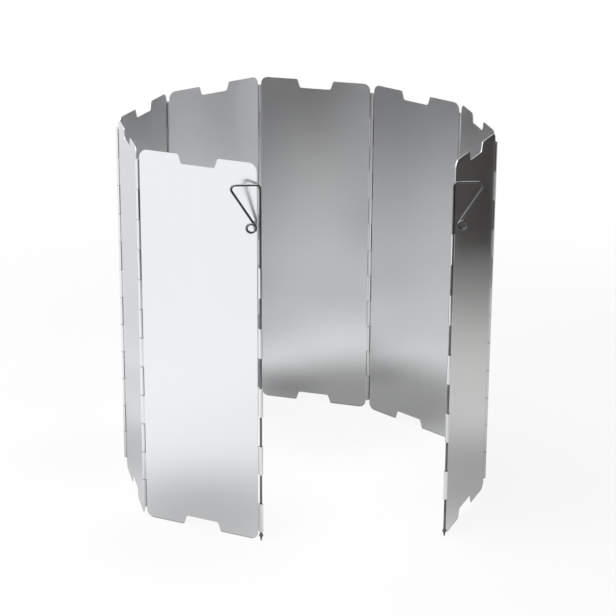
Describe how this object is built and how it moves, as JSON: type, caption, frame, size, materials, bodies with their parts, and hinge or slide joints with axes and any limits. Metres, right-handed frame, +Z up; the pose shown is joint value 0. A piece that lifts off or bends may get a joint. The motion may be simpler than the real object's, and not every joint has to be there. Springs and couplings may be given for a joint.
{
  "type": "folding camp stove windscreen",
  "caption": "Folding windscreen of satin aluminium panels hinged edge to edge on wire pins, standing as an open ring round a camp stove, with a sliding wire ground stake at each end.",
  "frame": {"origin": "middle of the standing screen's plan, on the ground", "axes": "+Z up along the hinge pins, +X along the open mouth from the left stake to the right stake, -Y out through the mouth"},
  "size_m": [0.2388, 0.2576, 0.24],
  "materials": {
    "panel": "satin, fine vertical brush",
    "pin": "bright drawn wire",
    "stake": "dark spring wire, half gloss"
  },
  "bodies": {
    "panel_1": {"panel_1": "panel", "hinge_pin_1": "pin"},
    "panel_2": {"panel_2": "panel", "hinge_pin_2": "pin"},
    "panel_3": {"panel_3": "panel", "hinge_pin_3": "pin"},
    "panel_4": {"panel_4": "panel", "hinge_pin_4": "pin"},
    "panel_5": {"panel_5": "panel", "hinge_pin_5": "pin"},
    "panel_6": {"panel_6": "panel", "hinge_pin_6": "pin"},
    "panel_7": {"panel_7": "panel", "hinge_pin_7": "pin"},
    "panel_8": {"panel_8": "panel"},
    "left_stake": {"left_stake": "stake"},
    "right_stake": {"right_stake": "stake"}
  },
  "joints": [
    {"name": "hinge_1", "type": "hinge", "parent": "panel_2", "child": "panel_1", "pos_m": [-0.10454, -0.08499, 0.12], "axis": [0, 0, 1], "range_deg": [-51, 126.5]},
    {"name": "hinge_2", "type": "hinge", "parent": "panel_3", "child": "panel_2", "pos_m": [-0.11802, -0.00259, 0.12], "axis": [0, 0, -1], "range_deg": [0, 208.5]},
    {"name": "hinge_3", "type": "hinge", "parent": "panel_4", "child": "panel_3", "pos_m": [-0.08602, 0.07454, 0.12], "axis": [0, 0, 1], "range_deg": [0, 148.5]},
    {"name": "hinge_4", "type": "hinge", "parent": "panel_5", "child": "panel_4", "pos_m": [-0.02139, 0.12742, 0.12], "axis": [0, 0, -1], "range_deg": [0, 238.5]},
    {"name": "hinge_5", "type": "hinge", "parent": "panel_5", "child": "panel_6", "pos_m": [0.05574, 0.09542, 0.12], "axis": [0, 0, -1], "range_deg": [0, 148.5]},
    {"name": "hinge_6", "type": "hinge", "parent": "panel_6", "child": "panel_7", "pos_m": [0.10861, 0.03079, 0.12], "axis": [0, 0, 1], "range_deg": [0, 209.5]},
    {"name": "hinge_7", "type": "hinge", "parent": "panel_7", "child": "panel_8", "pos_m": [0.11802, -0.05218, 0.12], "axis": [0, 0, -1], "range_deg": [-33, 144.5]},
    {"name": "left_stake_slide", "type": "slide", "parent": "panel_1", "child": "left_stake", "axis": [0, 0, 1], "range_m": [-0.048, 0.001]},
    {"name": "right_stake_slide", "type": "slide", "parent": "panel_8", "child": "right_stake", "axis": [0, 0, 1], "range_m": [-0.029, 0.02]}
  ],
  "couplings": [
    {"joint": "hinge_2", "follows": "hinge_4", "ratio": 0.87421},
    {"joint": "hinge_3", "follows": "hinge_4", "ratio": 0.62264},
    {"joint": "hinge_5", "follows": "hinge_4", "ratio": 0.62264},
    {"joint": "hinge_6", "follows": "hinge_4", "ratio": 0.87841}
  ]
}
